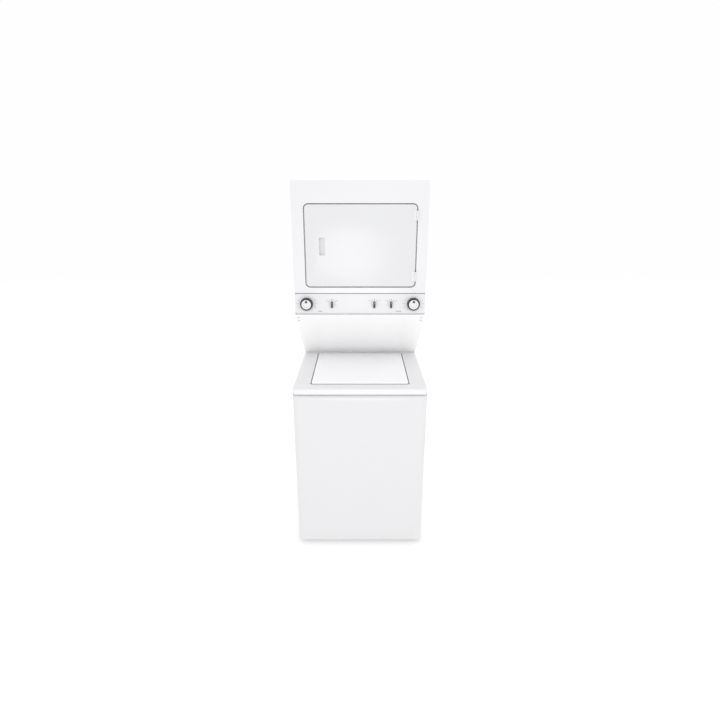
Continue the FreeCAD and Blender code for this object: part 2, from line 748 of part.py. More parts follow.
def agitator():
    """Post with a flared skirt and four vanes."""
    low = basket_floor + 6
    r, skirt = agitator_radius, agitator_skirt_radius
    centre = V(0, tub_y, 0)
    post = revolved([(0, low), (skirt, low), (skirt, low + 8), (skirt * 0.72, low + 34), (r + 14, low + 70),
                     (r, low + 120), (r - 8, agitator_top - 40), (r - 10, agitator_top), (0, agitator_top)],
                    centre, Z, X)
    outline = [(r - 12, low + 4), (skirt - 4, low + 4), (skirt - 14, low + 46), (r + vane_reach, low + 90),
               (r + 12, agitator_top - 120), (r - 12, agitator_top - 90)]
    vane = prism([(x, tub_y - 3, z) for x, z in outline], Y * 6)
    for one in around(vane, centre, Z, 4):
        post = post.fuse(one)
    return post


def agitator_cap():
    """Softener cup that lifts off the top of the agitator."""
    r = agitator_radius - 10
    low, high = agitator_top + free_clearance, tub_top - 6
    cup = revolved([(0, low), (r, low), (r + 6, high - 6), (r + 6, high), (r + 2, high), (r - 4, low + 4),
                    (0, low + 4)], V(0, tub_y, 0), Z, X)
    return cup


def drain_pump():
    body = rod(42, (pump_x, pump_y, floor_gap + 20), (pump_x, pump_y, floor_gap + 110))
    foot_plate = box(pump_x - 48, pump_x + 48, pump_y - 48, pump_y + 48, floor_gap + 2, floor_gap + 24)
    return body.fuse(foot_plate)


def drain_hose():
    """Pipe up the back of the cabinet from the pump to the drain fitting."""
    low, bend = (drain_x, pump_y, floor_gap + 110), (drain_x, pump_y, drain_z)
    pipe = drain_radius - 2
    rising = rod(pipe, low, bend).fuse(Part.makeSphere(pipe, V(*bend)))
    rising = rising.fuse(rod(pipe, bend, (drain_x, back, drain_z)))
    return rising.fuse(rod(drain_radius, (drain_x, back, drain_z), (drain_x, back + fitting_reach, drain_z)))


def inlet_valve():
    """Hot and cold valve with a threaded inlet for each supply hose."""
    body = box(inlet_places[0] - 22, inlet_places[1] + 22, back - 52, back - sheet,
               inlet_z - 24, inlet_z + 24)
    end = back + fitting_reach - 8
    for x in inlet_places:
        body = body.fuse(rod(hose_thread_radius, (x, back - 30, inlet_z), (x, end, inlet_z)))
    return body


# ---- Dryer works ----
bulkhead_y = dryer_front + 46
bulkhead_ring = drum_radius - drum_lip - 3
duct_depth = filter_thickness + 9
filter_y = bulkhead_y + 3 + duct_depth / 2


def front_bulkhead():
    """Plate behind the front panel, with the ring that the drum's front rim turns on."""
    disc = rod(drum_radius + 10, (0, bulkhead_y, drum_z), (0, bulkhead_y + sheet, drum_z))
    brace = box(-half_width + 2 * sheet, half_width - 2 * sheet, bulkhead_y, bulkhead_y + sheet,
                door_z - door_height / 2, top - flange)
    ring = tube(bulkhead_ring, bulkhead_ring - sheet, (0, bulkhead_y, drum_z), (0, drum_start + 12, drum_z))
    plate = disc.fuse(brace).fuse(ring).common(box(-half_width, half_width, front, back, deck, top - 4))
    plate = plate.cut(throat_outline(0, bulkhead_y - 1, drum_start + 20))
    half = filter_width / 2 + 4
    slot = box(-half, half, bulkhead_y + 2, bulkhead_y + 2 + duct_depth + 2, drum_z - drum_radius, door_z)
    return plate.cut(slot)


def lint_duct():
    """Duct that holds the lint filter and leads back under the drum to the blower's inlet."""
    half = filter_width / 2 + 4 - free_clearance
    high = door_z - throat_height / 2 - 2
    run_low = drum_z - drum_radius - 72
    low = min(run_low, high - filter_height - 6)
    start, end = bulkhead_y + 2 + free_clearance, bulkhead_y + 2 + duct_depth
    fall = box(-half, half, start, end, low, high)
    fall = fall.cut(box(-half + 2, half - 2, start + 2, end - 2, low + 2, high + 1))
    cowl_start, cowl_end = blower_start - cowl_depth, blower_start - free_clearance
    run = box(-26, 30, end, cowl_start + 1, run_low, run_low + 62)
    inside = box(-24, 28, end - 3, cowl_start + 3, run_low + 2, run_low + 60)
    cowl_right, cowl_low = dryer_motor_place + cowl_reach, motor_z - cowl_reach
    cowl = box(-26, cowl_right, cowl_start, cowl_end, cowl_low, run_low + 62)
    cowl = cowl.cut(box(-24, cowl_right - 2, cowl_start + 2, cowl_end + 1, cowl_low + 2, run_low + 60))
    cowl = cowl.cut(motor_line(motor_shaft_radius + 1, cowl_start - 1, cowl_end + 1))
    return fall.fuse(run).fuse(cowl).cut(inside)


def lint_filter():
    """Filter screen with a grip, in the bottom of the throat."""
    half = filter_width / 2 - free_clearance
    high = door_z - throat_height / 2
    y0, y1 = filter_y - filter_thickness / 2, filter_y + filter_thickness / 2
    frame = box(-half, half, y0, y1, high - filter_height, high - 1)
    window = box(-half + 8, half - 8, y0 - 1, y1 + 1, high - filter_height + 8, high - 16)
    mesh = box(-half + 7, half - 7, filter_y - 0.5, filter_y + 0.5, high - filter_height + 7, high - 15)
    grip = box(-half + 22, half - 22, y0 + 2, y1 - 2, high - 2, high + 9)
    return frame.cut(window).fuse(mesh).fuse(grip)


def dryer_drum():
    """Steel drum with a turned-in front rim and a vented back on a central shaft."""
    r = drum_radius
    profile = [(0, drum_end - 3), (0, drum_end), (r, drum_end), (r, drum_start), (r - drum_lip, drum_start),
               (r - drum_lip, drum_start + 10), (r - drum_lip + drum_wall, drum_start + 10),
               (r - drum_lip + drum_wall, drum_start + drum_wall), (r - drum_wall, drum_start + drum_wall),
               (r - drum_wall, drum_end - 3)]
    shell = revolved(profile, V(0, 0, drum_z), Y, X)
    vent = rod(9, (r * 0.62, drum_end - 5, drum_z), (r * 0.62, drum_end + 2, drum_z))
    inner = rod(9, (r * 0.46, drum_end - 5, drum_z), (r * 0.46, drum_end + 2, drum_z))
    centre = V(0, 0, drum_z)
    vents = around(vent, centre, Y, 24) + around(inner, centre, Y, 18)
    shell = shell.cut(Part.makeCompound(vents))
    hub = rod(26, (0, drum_end, drum_z), (0, drum_end + 8, drum_z))
    return shell.fuse(hub).fuse(rod(drum_shaft_radius, (0, drum_end, drum_z), (0, back - 8, drum_z)))


def drum_baffle():
    """Vane that lifts the clothes, one of three."""
    r = drum_radius - drum_wall - 0.2
    rise = baffle_height
    y0, y1 = drum_start + 40, drum_end - 30
    low = drum_z - math.sqrt(r * r - 38 * 38)
    corners = [(-38, y0, low), (-12, y0, low + rise), (12, y0, low + rise), (38, y0, low)]
    vane = prism(corners, Y * (y1 - y0))
    crest = [e for e in vane.Edges if abs(e.tangentAt(0).y) > 0.9 and e.BoundBox.ZMin > low + 5]
    return vane.makeFillet(6, crest)


def heater_housing():
    """Round heater box on the rear panel, with the bearing for the drum shaft."""
    start = drum_end + 12
    r = drum_radius * 0.78
    pan = tube(r, r - sheet, (0, start, drum_z), (0, back - sheet, drum_z))
    back_plate = rod(r, (0, back - 2 * sheet, drum_z), (0, back - sheet, drum_z))
    bearing = rod(24, (0, back - 42, drum_z), (0, back - sheet, drum_z))
    bore = rod(drum_shaft_radius + running_clearance, (0, start, drum_z), (0, back - 6, drum_z))
    return pan.fuse(back_plate).fuse(bearing).cut(bore)


blower_start = back - 96
belt_y = drum_start + 150


def base_shelf():
    """Shelf inside the dryer cabinet that carries the motor and the blower."""
    clear = (console_base - shelf_z) / math.tan(slope_angle)
    start = dryer_front + clear + 14
    return box(-half_width + 2 * sheet, half_width - 2 * sheet, start, back - 2 * sheet, shelf_z, shelf_z + 2)


def motor_line(radius, start, end):
    """Cylinder on the dryer motor's axis."""
    return rod(radius, (dryer_motor_place, start, motor_z), (dryer_motor_place, end, motor_z))


def dryer_motor():
    """Motor on a foot, with a bore for its shaft."""
    y0, y1 = belt_y + 26, blower_start - 22
    body = motor_line(dryer_motor_radius, y0, y1)
    cradle = box(dryer_motor_place - 46, dryer_motor_place + 46, y0 + 10, y1 - 10, shelf_z + 2, motor_z - 30)
    bore = motor_line(motor_shaft_radius + running_clearance, y0 - 1, y1 + 1)
    return body.fuse(cradle).cut(bore)


def motor_shaft():
    """Motor shaft with the belt pulley on its front end."""
    pulley = motor_line(dryer_pulley_radius, belt_y - 8, belt_y + 8)
    return pulley.fuse(motor_line(motor_shaft_radius, belt_y - 10, blower_start + 40))


def blower_wheel():
    centre = V(dryer_motor_place, 0, motor_z)
    y0, y1 = blower_start + 10, blower_start + 48
    wheel = motor_line(blower_radius, y1 - 3, y1).fuse(motor_line(14, y0 + 8, y1))
    blade = box(dryer_motor_place + blower_radius - 22, dryer_motor_place + blower_radius - 1, y0, y1 - 2,
                motor_z - 1, motor_z + 1)
    for one in around(blade, centre, Y, 16):
        wheel = wheel.fuse(one)
    return wheel.cut(motor_line(motor_shaft_radius, y0, blower_start + 40))


def blower_housing():
    """Round housing whose side outlet leads into the exhaust duct."""
    y0, y1 = blower_start, blower_start + 60
    r = blower_case
    body = motor_line(r, y0, y1).cut(motor_line(r - 2, y0 + 2, y1 - 2))
    return body.cut(motor_line(30, y0 - 1, y0 + 3))


def exhaust_duct():
    """Box duct from the blower that ends in a round collar behind the rear panel."""
    x, z = exhaust_place()
    y0, y1 = blower_start + 2, blower_start + 58
    half = exhaust_radius + 4
    end = dryer_motor_place - blower_case - 2
    duct = box(x - half, end, y0, y1, z - half, z + half)
    duct = duct.fuse(rod(exhaust_radius + 2, (x, y1 - 2, z), (x, back, z)))
    duct = duct.fuse(rod(exhaust_radius, (x, back, z), (x, back + fitting_reach, z)))
    duct = duct.cut(box(x - half + 2, end + 1, y0 + 2, y1 - 2, z - half + 2, z + half - 2))
    return duct.cut(rod(exhaust_radius - 1.5, (x, y1 - 4, z), (x, back + fitting_reach + 1, z)))


idler_x, idler_z = dryer_motor_place - 90, motor_z + 40


def idler_arm():
    """Sprung arm with the pin that the idler turns on."""
    bar = box(idler_x - 9, idler_x + 9, belt_y + 14, belt_y + 18, shelf_z + 2, idler_z + 12)
    foot_plate = box(idler_x - 20, idler_x + 20, belt_y + 14, belt_y + 50, shelf_z + 2, shelf_z + 5)
    return bar.fuse(foot_plate).fuse(
        rod(idler_pin_radius, (idler_x, belt_y - 12, idler_z), (idler_x, belt_y + 16, idler_z)))


def idler_pulley():
    start, end = (idler_x, belt_y - 9, idler_z), (idler_x, belt_y + 9, idler_z)
    return tube(idler_radius, idler_pin_radius + running_clearance, start, end)


def dryer_belt():
    circles = [(0, drum_z, drum_radius), (idler_x, idler_z, idler_radius),
               (dryer_motor_place, motor_z, dryer_pulley_radius)]
    loop = stood_up(belt(circles, belt_thickness, belt_width))
    loop.translate(Y * (belt_y + belt_width / 2))
    return loop


# ---- Every piece ----
washer_side = side_panel(floor_gap, panel_top, front + panel_return, back)
save("base_pan", base_pan())
save("leveling_feet", *[foot(x, y) for x, y in foot_places], *[foot_nut(x, y) for x, y in foot_places])
save("washer_side_panels", mirrored(washer_side), washer_side)
save("rear_panels", washer_rear_panel(), dryer_rear_panel(), exhaust_plate())
save("washer_front_panel", washer_front_panel())
save("washer_deck", washer_deck())
save("sloped_panel", sloped_panel())
save("dryer_side_panels", mirrored(dryer_side()), dryer_side())
save("dryer_top_panel", dryer_top_panel())
save("dryer_front_panel", dryer_front_panel())
save("console_panel", console_panel())
save("panel_screws", *[panel_screw(x, z) for x, z in screw_places])
switches = [selector_switch(x) for x in selector_places]
save("control_switches", timer_box(-timer_x), timer_box(timer_x), *switches)
for name, x in (("dryer_timer", -timer_x), ("washer_timer", timer_x)):
    save(name + "_shaft", timer_shaft(x))
    save(name + "_knob", timer_knob(x))
    save(name + "_cap", timer_cap(x))
for name, x in zip(("dryer_heat_knob", "wash_load_knob", "wash_temp_knob"), selector_places):
    save(name, selector_knob(x))
save("outer_tub", outer_tub())
save("tub_cover", tub_cover())
save("suspension_rods", *[suspension_rod(x, y) for x, y in rod_places])
save("gearcase", gearcase())
save("washer_motor", washer_motor())
save("washer_motor_pulley", washer_motor_pulley())
save("drive_pulley", drive_pulley())
save("washer_belt", washer_belt())
save("drain_pump", drain_pump())
save("drain_hose", drain_hose())
save("inlet_valve", inlet_valve())
save("wash_basket", wash_basket())
save("balance_ring", balance_ring())
save("agitator", agitator())
save("agitator_cap", agitator_cap())
save("washer_lid", washer_lid())
save("lid_liner", lid_liner())
save("lid_pins", lid_pin(-1), lid_pin(1))
save("door_outer", door_outer())
save("door_inner", door_inner())
save("door_seal", door_seal())
save("door_hinge_brackets", *[hinge_bracket(z) for z in hinge_levels])
save("door_hinge_leaves", *[hinge_leaf(z) for z in hinge_levels])
save("front_bulkhead", front_bulkhead())
save("lint_duct", lint_duct())
save("lint_filter", lint_filter())
save("dryer_drum", dryer_drum())
save("drum_baffles", *around(drum_baffle(), V(0, 0, drum_z), Y, 3))
save("heater_housing", heater_housing())
save("base_shelf", base_shelf())
save("dryer_motor", dryer_motor())
save("motor_shaft", motor_shaft())
save("blower_wheel", blower_wheel())
save("blower_housing", blower_housing())
save("exhaust_duct", exhaust_duct())
save("idler_arm", idler_arm())
save("idler_pulley", idler_pulley())
save("dryer_belt", dryer_belt())
print("cabinet", front, back, "deck", deck, "console", console_base, console_top, "top", top)
print("tub", tub_radius, tub_y, tub_floor, tub_top, "drum", drum_radius, drum_z, drum_start, drum_end)
print("lid", lid_front, lid_rear, lid_hinge_y, lid_hinge_z, "door", door_z, hinge_x, hinge_y, door_face)
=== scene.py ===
import bpy, bmesh, math
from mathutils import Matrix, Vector


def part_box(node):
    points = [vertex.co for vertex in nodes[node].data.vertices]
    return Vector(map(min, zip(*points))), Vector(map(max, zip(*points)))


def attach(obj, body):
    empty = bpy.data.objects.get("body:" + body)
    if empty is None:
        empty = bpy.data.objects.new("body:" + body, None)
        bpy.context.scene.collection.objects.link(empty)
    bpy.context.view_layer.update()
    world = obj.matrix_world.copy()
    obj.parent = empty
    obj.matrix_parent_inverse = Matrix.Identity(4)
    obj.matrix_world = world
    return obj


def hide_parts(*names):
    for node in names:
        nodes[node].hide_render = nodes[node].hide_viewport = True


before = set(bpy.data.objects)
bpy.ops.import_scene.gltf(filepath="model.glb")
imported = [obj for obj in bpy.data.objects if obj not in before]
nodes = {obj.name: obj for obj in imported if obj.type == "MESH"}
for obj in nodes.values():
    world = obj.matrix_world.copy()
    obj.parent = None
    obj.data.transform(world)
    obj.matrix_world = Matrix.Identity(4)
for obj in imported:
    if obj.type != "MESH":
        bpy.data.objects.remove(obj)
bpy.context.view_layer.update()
bpy.ops.object.select_all(action="DESELECT")
mm = 0.001


# ---- Studio ----
# An opal acrylic table and a white surround, a broad key above the front and a level softbox
# before it, so that white enamel still shows its edges against white.
def linear(code):
    """sRGB hex to linear red, green, blue and alpha."""
    parts = [int(code[i:i + 2], 16) / 255 for i in (1, 3, 5)]
    return (*[c / 12.92 if c <= 0.04045 else ((c + 0.055) / 1.055) ** 2.4 for c in parts], 1.0)


def add_node(tree, kind, setup=None, **sockets):
    """Adds one node: setup holds its own settings, and a socket takes a value or an output."""
    made = tree.nodes.new(kind)
    for name, value in (setup or {}).items():
        setattr(made, name, value)
    for name, value in sockets.items():
        socket = made.inputs[name.replace("_", " ")]
        if isinstance(value, bpy.types.NodeSocket):
            tree.links.new(value, socket)
        else:
            socket.default_value = value
    return made


def new_material(name):
    """Empty material: its tree, its shader and object coordinates."""
    material = bpy.data.materials.new(name)
    material.use_nodes = True
    tree = material.node_tree
    shader = tree.nodes["Principled BSDF"]
    place = tree.nodes.new("ShaderNodeTexCoord").outputs["Object"]
    return material, tree, shader, place


def set_shader(shader, **values):
    for name, value in values.items():
        shader.inputs[name.replace("_", " ")].default_value = value


def lit_acrylic():
    """Opal acrylic shooting table lit softly from below, which lightens the shadow on it."""
    material, tree, shader, place = new_material("opal_acrylic_table")
    set_shader(shader, Base_Color=linear("#C4C4C4"), Roughness=0.9, Emission_Color=linear("#FFFFFF"),
               Emission_Strength=0.5)
    tooth = add_node(tree, "ShaderNodeTexNoise", Vector=place, Scale=1 / (4 * mm), Detail=2.0)
    bump = add_node(tree, "ShaderNodeBump", Height=tooth.outputs["Fac"], Strength=0.03,
                    Distance=0.1 * mm)
    tree.links.new(bump.outputs["Normal"], shader.inputs["Normal"])
    return material


bpy.ops.mesh.primitive_plane_add(size=16, location=(0, 0, 0))
floor = bpy.context.object
floor.name = "studio_floor"
floor.data.materials.append(lit_acrylic())
bpy.ops.object.select_all(action="DESELECT")

studio = bpy.data.worlds.new("studio_light")
studio.use_nodes = True
studio.node_tree.nodes["Background"].inputs["Color"].default_value = linear("#FEFEFF")
studio.node_tree.nodes["Background"].inputs["Strength"].default_value = 1.0
bpy.context.scene.world = studio
bpy.context.scene.view_settings.view_transform = "Standard"


def add_softbox(name, place, target, size, power):
    light = bpy.data.lights.new(name, "AREA")
    light.shape = "DISK"
    light.size = size
    light.energy = power
    holder = bpy.data.objects.new(name, light)
    holder.location = place
    holder.rotation_euler = (Vector(target) - Vector(place)).to_track_quat("-Z", "Y").to_euler()
    bpy.context.collection.objects.link(holder)


add_softbox("key_softbox", (0.5, -2.8, 3.0), (0, 0, 1.0), 1.8, 7)
add_softbox("low_softbox", (0, -3.4, 1.05), (0, 0, 1.1), 1.2, 9)

# The viewpoint stands a little under dryer height and looks down at the washer's front.
view_distance, view_height, view_pitch = 2.4777, 1.8681, 17.155
lens_length, frame_shift = 22.44, -25 / 720
camera = bpy.data.objects.new("camera", bpy.data.cameras.new("camera"))
camera.location = (0, -view_distance, view_height)
camera.rotation_euler = (math.radians(90 - view_pitch), 0, 0)
camera.data.lens = lens_length
camera.data.shift_y = frame_shift
bpy.context.collection.objects.link(camera)
bpy.context.scene.camera = camera


# ---- Base and feet ----
# Galvanised base pan, which carries both machines on four screwed feet with rubber soles.
# Zinc crystals about a centimetre across show in the pan.
def galvanised(name):
    """Hot-dip zinc, whose crystals each reflect a little differently."""
    material, tree, shader, place = new_material(name)
    set_shader(shader, Metallic=1.0)
    spangle = 9 * mm
    crystal = add_node(tree, "ShaderNodeTexVoronoi", Vector=place, Scale=1 / spangle)
    tone = add_node(tree, "ShaderNodeMix", {"data_type": "RGBA"}, Factor=crystal.outputs["Color"])
    tone.inputs[6].default_value = linear("#B4B8BA")
    tone.inputs[7].default_value = linear("#D2D5D6")
    tree.links.new(tone.outputs[2], shader.inputs["Base Color"])
    spread = add_node(tree, "ShaderNodeMapRange", Value=crystal.outputs["Color"],
                      To_Min=0.36, To_Max=0.52)
    tree.links.new(spread.outputs["Result"], shader.inputs["Roughness"])
    return material


def moulded(name, colour, roughness=0.35, grain=0.4):
    """Injection-moulded plastic: an even colour with a fine spark-eroded texture."""
    material, tree, shader, place = new_material(name)
    set_shader(shader, Base_Color=linear(colour), IOR=1.49)
    texture = add_node(tree, "ShaderNodeTexNoise", Vector=place, Scale=1 / (grain * mm), Detail=2.0)
    spread = add_node(tree, "ShaderNodeMapRange", Value=texture.outputs["Fac"],
                      To_Min=roughness - 0.05, To_Max=roughness + 0.07)
    tree.links.new(spread.outputs["Result"], shader.inputs["Roughness"])
    bump = add_node(tree, "ShaderNodeBump", Height=texture.outputs["Fac"], Strength=0.15,
                    Distance=0.05 * mm)
    tree.links.new(bump.outputs["Normal"], shader.inputs["Normal"])
    return material


def dress(material, *names):
    """Gives CAD pieces their finish."""
    for name in names:
        piece = nodes[name]
        piece.data.materials.clear()
        piece.data.materials.append(material)
        for face in piece.data.polygons:
            face.material_index = 0


zinc = galvanised("hot_dip_galvanised_sheet")
rubber = moulded("black_nitrile_rubber", "#1E1E1F", 0.7, 1.2)
dress(zinc, "base_pan")
dress(rubber, "leveling_feet")


# ---- Tub and suspension ----
# Moulded polypropylene tub with a cover ring clipped on its rim. It hangs on four galvanised rods
# with spring seats from the top of the cabinet.
tub_plastic = moulded("natural_polypropylene", "#E9EAEA", 0.38, 0.8)
dress(tub_plastic, "outer_tub", "tub_cover")
dress(zinc, "suspension_rods")


# ---- Washer drive ----
# Cast aluminium gearcase and motor under the tub, with zinc-plated pulleys and a rubber belt.
# Castings keep the grain of the sand, and plated steel is smooth.
def sheet_metal(name, colour, roughness, grain, stretch=(1, 1, 1)):
    """Bare metal: rolling or brushing marks as long as the stretch makes them."""
    material, tree, shader, place = new_material(name)
    set_shader(shader, Base_Color=linear(colour), Metallic=1.0)
    aligned = add_node(tree, "ShaderNodeMapping", Vector=place, Scale=stretch)
    marks = add_node(tree, "ShaderNodeTexNoise", Vector=aligned.outputs["Vector"],
                     Scale=1 / (grain * mm), Detail=3.0)
    spread = add_node(tree, "ShaderNodeMapRange", Value=marks.outputs["Fac"],
                      To_Min=roughness - 0.08, To_Max=roughness + 0.1)
    tree.links.new(spread.outputs["Result"], shader.inputs["Roughness"])
    bump = add_node(tree, "ShaderNodeBump", Height=marks.outputs["Fac"], Strength=0.12,
                    Distance=0.05 * mm)
    tree.links.new(bump.outputs["Normal"], shader.inputs["Normal"])
    return material


castings = sheet_metal("sand_cast_aluminium", "#9A9C9E", 0.55, 2.5)
bright_zinc = sheet_metal("bright_zinc_plate", "#C9CBCC", 0.3, 1.5)
dress(castings, "gearcase", "washer_motor")
dress(bright_zinc, "drive_pulley", "washer_motor_pulley")
dress(rubber, "washer_belt")


# ---- Basket and agitator ----
# Perforated basket of stainless sheet, brushed round its wall. The balance ring inside its rim,
# the agitator and the softener cup on top are polypropylene.
stainless = sheet_metal("brushed_stainless", "#D6D7D7", 0.3, 1.2, (0.15, 0.15, 6))
dress(stainless, "wash_basket")
dress(tub_plastic, "balance_ring", "agitator", "agitator_cap")


# ---- Water ----
# Drain pump and smooth hose in black plastic. The inlet valve is turned from brass and carries
# the threads that the supply hoses screw on.
black_plastic = moulded("black_abs_moulded", "#26262A", 0.45)
brass = sheet_metal("turned_brass", "#C9A35A", 0.3, 0.8)
dress(black_plastic, "drain_pump", "drain_hose")
dress(brass, "inlet_valve")


# ---- Cabinet sheets ----
# Washer sides and deck, back slope, dryer sides, top and front are pressed from sheet steel and
# finished in white gloss enamel, sprayed and baked, with a fine orange peel. The rear is zinc.
def enamel(name, colour, roughness=0.28):
    """Baked gloss enamel: an even white film with orange peel a few millimetres across."""
    material, tree, shader, place = new_material(name)
    set_shader(shader, Roughness=roughness, IOR=1.5, Coat_Weight=0.25, Coat_Roughness=0.12)
    cloud = add_node(tree, "ShaderNodeTexNoise", Vector=place, Scale=1 / (180 * mm), Detail=2.0)
    base = linear(colour)
    shade = 0.985
    shaded = (base[0] * shade, base[1] * shade, base[2] * shade, 1.0)
    tone = add_node(tree, "ShaderNodeMix", {"data_type": "RGBA"}, Factor=cloud.outputs["Fac"])
    tone.inputs[6].default_value = base
    tone.inputs[7].default_value = shaded
    tree.links.new(tone.outputs[2], shader.inputs["Base Color"])
    peel = add_node(tree, "ShaderNodeTexNoise", Vector=place, Scale=1 / (5 * mm), Detail=3.0)
    bump = add_node(tree, "ShaderNodeBump", Height=peel.outputs["Fac"], Strength=0.06,
                    Distance=0.15 * mm)
    tree.links.new(bump.outputs["Normal"], shader.inputs["Normal"])
    return material


cabinet_enamel = enamel("white_gloss_enamel", "#E4E4E6")
# Painted light: the back slope gets a much lighter copy of the same white enamel, standing in for light
# on a face turned down and away from the lamps.
slope_enamel_painted_light = enamel("white_gloss_enamel_slope_painted_light", "#F7F7F7")
# Painted light: the deck gets a slightly lighter copy of the same white enamel.
deck_enamel_painted_light = enamel("white_gloss_enamel_deck_painted_light", "#E9E9EA")
dress(cabinet_enamel, "washer_side_panels", "dryer_side_panels", "dryer_top_panel", "dryer_front_panel")
dress(slope_enamel_painted_light, "sloped_panel")
dress(deck_enamel_painted_light, "washer_deck")
dress(zinc, "rear_panels")
dress(bright_zinc, "panel_screws")


# ---- Dryer works ----
# The motor turns the drum's belt at one end and the blower at the other, on a galvanised shelf.
# The blower draws air through the heater housing, drum and lint duct, and blows it out behind.
dress(zinc, "base_shelf", "heater_housing", "exhaust_duct", "blower_wheel")
dress(castings, "dryer_motor")
dress(bright_zinc, "motor_shaft")
dress(black_plastic, "blower_housing", "lint_duct", "idler_pulley")
dress(cabinet_enamel, "idler_arm")
dress(rubber, "dryer_belt")


# ---- Drum ----
# Porcelain-enamelled steel drum with plastic baffles, behind an enamelled bulkhead. The lint
# filter slides into its duct at the foot of the throat.
drum_enamel = enamel("drum_porcelain_enamel", "#E6E6E3", roughness=0.33)
dress(drum_enamel, "dryer_drum")
dress(tub_plastic, "drum_baffles", "lint_filter")
dress(cabinet_enamel, "front_bulkhead")


# ---- Washer front ----
# One sheet wrapped round both corners. Its top edge is rolled back under the deck, and the roll
# is deeper in the middle than at the corners, which catches the light in a shallow bow.
def in_edit(obj):
    bpy.ops.object.select_all(action="DESELECT")
    bpy.context.view_layer.objects.active = obj
    obj.select_set(True)
    bpy.ops.object.mode_set(mode="EDIT")
    bpy.ops.mesh.select_all(action="DESELECT")
    return bmesh.from_edit_mesh(obj.data)


def pick(obj, mesh, what, rule):
    """Selects the edges or faces whose middle and direction pass a rule."""
    bpy.context.tool_settings.mesh_select_mode = (False, what == "edges", what == "faces")
    for item in getattr(mesh, what):
        if what == "edges":
            a, b = (v.co for v in item.verts)
            item.select_set(bool(rule((a + b) / 2, (b - a).normalized())))
        else:
            item.select_set(bool(rule(item.calc_center_median(), item.normal)))
    mesh.select_flush_mode()
    bmesh.update_edit_mesh(obj.data)


def cut_across(point, normal):
    """Adds a line of edges where a plane meets the mesh."""
    bpy.ops.mesh.select_all(action="SELECT")
    bpy.ops.mesh.bisect(plane_co=point, plane_no=normal)


def out_of_edit():
    bpy.ops.object.mode_set(mode="OBJECT")


def give_thickness(obj):
    """Makes sheet steel of an outer skin."""
    skin = obj.modifiers.new("sheet", "SOLIDIFY")
    skin.thickness = 1.2 * mm
    bpy.ops.object.modifier_apply(modifier=skin.name)


def new_block(name, low, high):
    """Block between two corners, with its place in its mesh."""
    low, high = Vector(low), Vector(high)
    bpy.ops.mesh.primitive_cube_add(size=1, location=(low + high) / 2, scale=high - low)
    made = bpy.context.object
    made.name = made.data.name = name
    bpy.ops.object.transform_apply(location=True, rotation=True, scale=True)
    return made


def finish_piece(obj, material, body, bevel=0.0, stands_for=()):
    """Applies an edge bevel if asked, shades, paints and hangs the piece on its body."""
    bpy.ops.object.select_all(action="DESELECT")
    bpy.context.view_layer.objects.active = obj
    obj.select_set(True)
    if bevel:
        rounding = obj.modifiers.new("edge", "BEVEL")
        rounding.width = bevel
        rounding.segments = 3
        rounding.limit_method = "ANGLE"
        rounding.angle_limit = math.radians(40)
        bpy.ops.object.modifier_apply(modifier=rounding.name)
    bpy.ops.object.shade_smooth_by_angle(angle=math.radians(35))
    obj.data.materials.clear()
    obj.data.materials.append(material)
    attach(obj, body)
    if stands_for:
        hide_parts(*stands_for)
    bpy.ops.object.select_all(action="DESELECT")


low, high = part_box("washer_front_panel")
front_wrap = new_block("washer_front", low, high)
corner, roll, bow, strips = 25 * mm, 22 * mm, 0.8, 14
near = 1 * mm       # anything closer to a face than this is on it
mesh = in_edit(front_wrap)
pick(front_wrap, mesh, "edges", lambda c, d: abs(d.z) > 0.9 and c.y < low.y + near)
bpy.ops.mesh.bevel(offset=corner, segments=8, affect="EDGES")
mesh = bmesh.from_edit_mesh(front_wrap.data)
pick(front_wrap, mesh, "edges",
     lambda c, d: c.z > high.z - near and c.y < high.y - near and abs(d.z) < 0.1)
bpy.ops.mesh.bevel(offset=roll, segments=8, affect="EDGES")
for i in range(1, strips):
    cut_across((low.x + (high.x - low.x) * i / strips, 0, 0), (1, 0, 0))
mesh = bmesh.from_edit_mesh(front_wrap.data)
for v in mesh.verts:
    drop = high.z - v.co.z
    if 0 < drop < roll + near and v.co.y < low.y + roll:
        v.co.z = high.z - drop * (1 + bow * max(0, 1 - (v.co.x / high.x) ** 2))
pick(front_wrap, mesh, "faces", lambda c, n: n.y > 0.9 or n.z < -0.9)
bpy.ops.mesh.delete(type="FACE")
out_of_edit()
give_thickness(front_wrap)
# Painted shade: the washer front gets a darker copy of the same white enamel.
front_enamel_painted_shade = enamel("white_gloss_enamel_front_painted_shade", "#DFDFE0")
finish_piece(front_wrap, front_enamel_painted_shade, "cabinet", stands_for=["washer_front_panel"])


# ---- Lid ----
# Drawn steel lid, slightly crowned so that water runs off, with soft edges and rounded corners.
# It lies in the deck's well on bumpers and turns on pins at its back corners.
low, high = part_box("washer_lid")
lid = new_block("lid_skin", low, high)
lid_corner, lid_edge, lid_crown, lid_steps = 12 * mm, 1.8 * mm, 2.2 * mm, 10
lid_lip, lid_undercut = 2.2 * mm, 22 * mm     # the front edge overhangs, so that fingers catch it
lid_taper = 0.8 * mm        # height over which the overhang begins
mesh = in_edit(lid)
pick(lid, mesh, "edges", lambda c, d: abs(d.z) > 0.9)
bpy.ops.mesh.bevel(offset=lid_corner, segments=6, affect="EDGES")
mesh = bmesh.from_edit_mesh(lid.data)
pick(lid, mesh, "edges", lambda c, d: c.z > high.z - near)
bpy.ops.mesh.bevel(offset=lid_edge, segments=5, affect="EDGES")
for i in range(1, lid_steps):
    cut_across((low.x + (high.x - low.x) * i / lid_steps, 0, 0), (1, 0, 0))
    cut_across((0, low.y + (high.y - low.y) * i / lid_steps, 0), (0, 1, 0))
mesh = bmesh.from_edit_mesh(lid.data)
middle_y = (low.y + high.y) / 2
